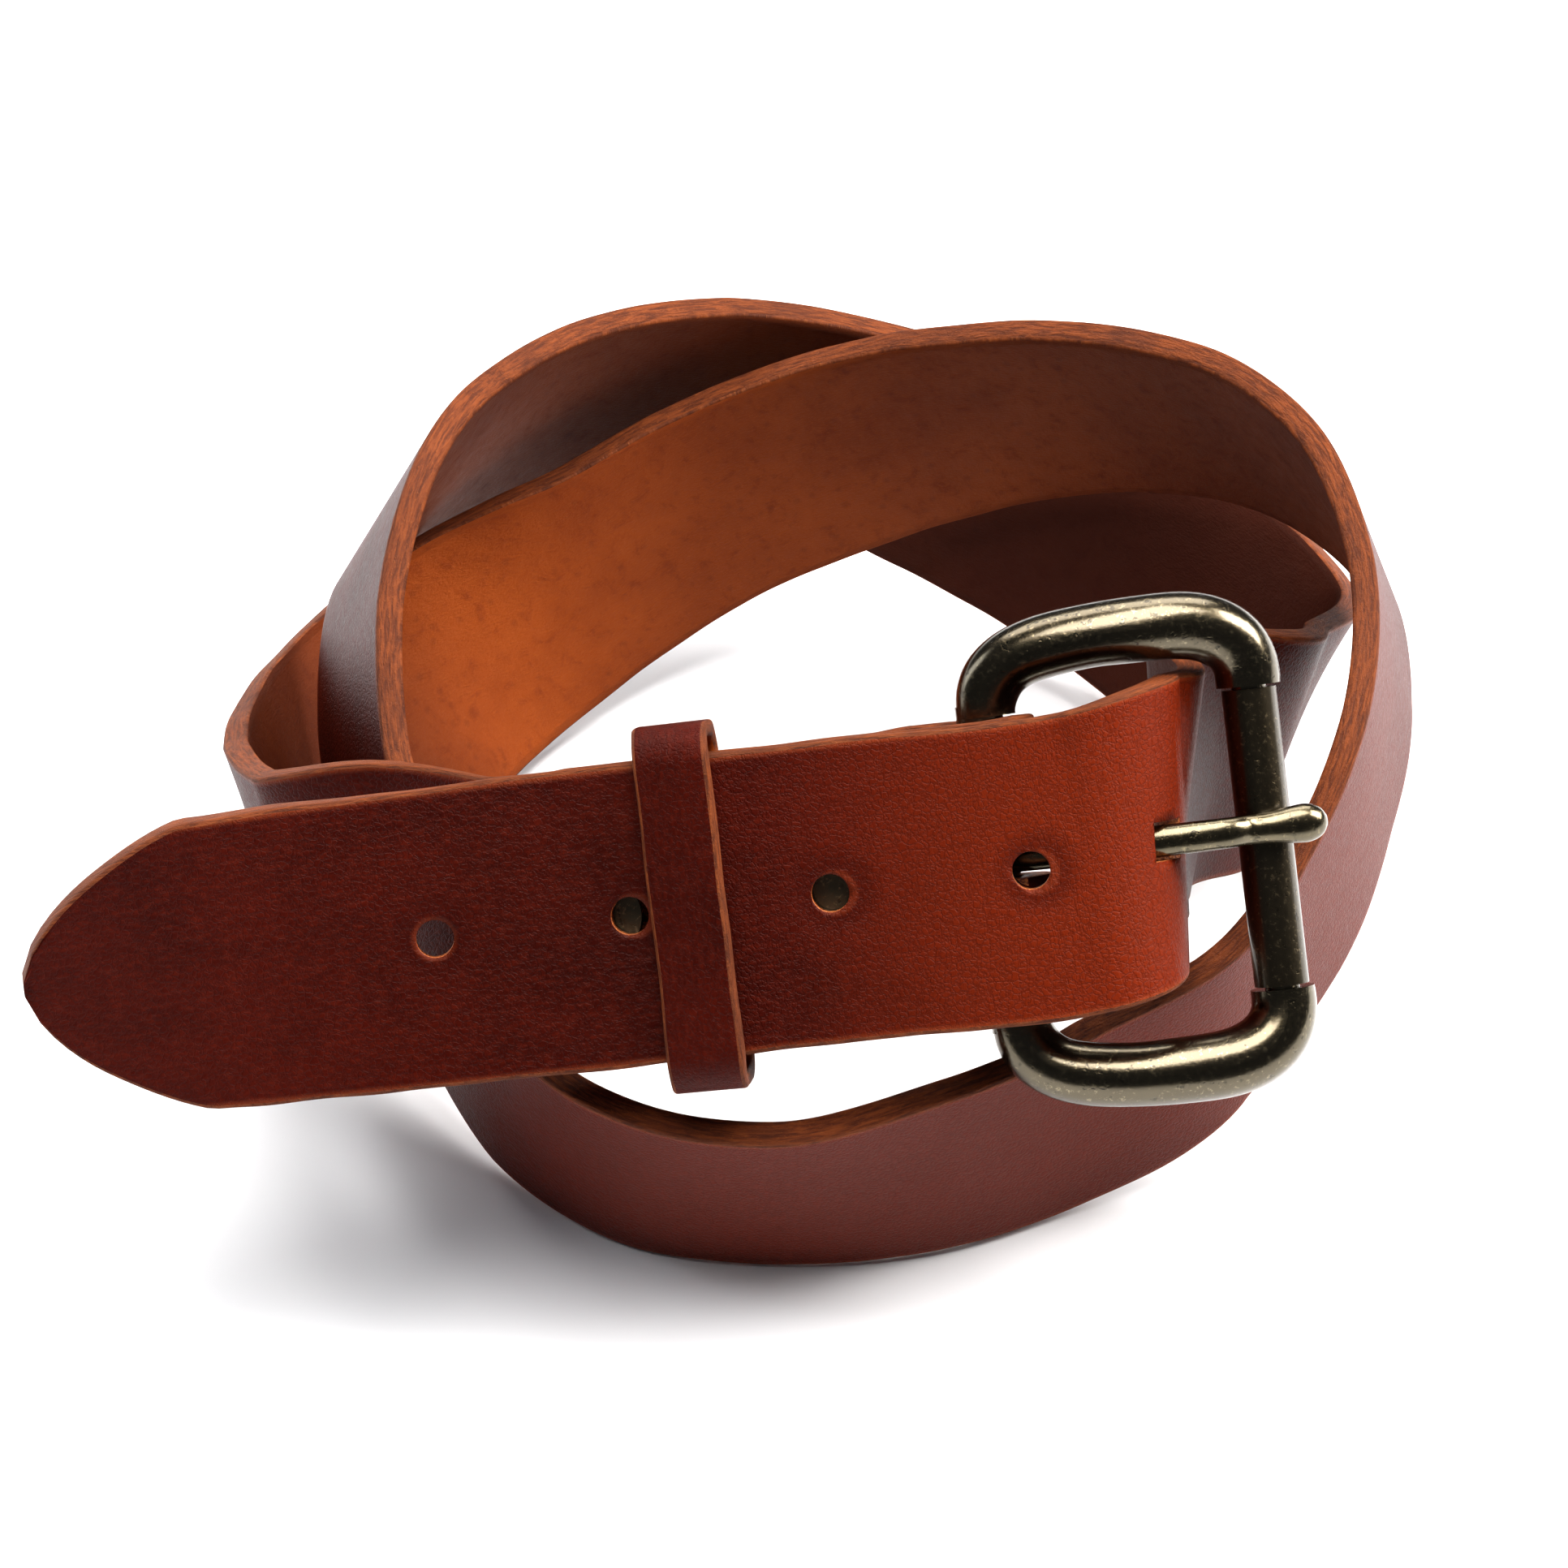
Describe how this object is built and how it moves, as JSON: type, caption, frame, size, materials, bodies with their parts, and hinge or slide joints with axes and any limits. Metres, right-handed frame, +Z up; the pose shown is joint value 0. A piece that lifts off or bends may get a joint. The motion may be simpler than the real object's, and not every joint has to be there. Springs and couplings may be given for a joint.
{
  "type": "leather belt",
  "caption": "Buckled leather dress belt lying coiled on its edges, with a roller buckle, a keeper loop and screw-closed fold.",
  "frame": {"origin": "on the surface the belt lies on, under the middle of its bounding box", "axes": "+Z up from the surface, +X from the tip towards the buckle's roller, +Y from the buckle towards the back of the coil"},
  "size_m": [0.1824, 0.1506, 0.09],
  "materials": {
    "strap_leather": "waxed full grain, raw edges",
    "keeper_leather": "waxed full grain, raw edges",
    "antique_brass": "dark antique, polished high spots",
    "roller_brass": "dark antique, satin",
    "screw_brass": "dark antique, satin",
    "staple_steel": "satin"
  },
  "bodies": {
    "belt": {"strap": "strap_leather", "screw_post_near": "screw_brass", "screw_post_far": "screw_brass", "screw_near": "screw_brass", "screw_far": "screw_brass"},
    "buckle": {"buckle_frame": "antique_brass"},
    "roller": {"roller": "roller_brass"},
    "tongue": {"tongue": "antique_brass"},
    "keeper": {"keeper": "keeper_leather", "keeper_staple": "staple_steel"}
  },
  "joints": [
    {"name": "buckle_swing", "type": "hinge", "parent": "belt", "child": "buckle", "pos_m": [0.03059, -0.04995, 0.06099], "axis": [0.1173, -0.6371, -0.7618], "range_deg": [-0.5, 1]},
    {"name": "roller_spin", "type": "hinge", "parent": "buckle", "child": "roller", "pos_m": [0.06475, -0.04706, 0.06383], "axis": [-0.1173, 0.6371, 0.7618], "continuous": true},
    {"name": "tongue_lift", "type": "hinge", "parent": "buckle", "child": "tongue", "pos_m": [0.03059, -0.04995, 0.06099], "axis": [0.1173, -0.6371, -0.7618], "range_deg": [0, 1.2]},
    {"name": "keeper_slide", "type": "slide", "parent": "belt", "child": "keeper", "axis": [0.9914, 0.0303, 0.1273], "range_m": [-0.0012, 0.0063]}
  ]
}
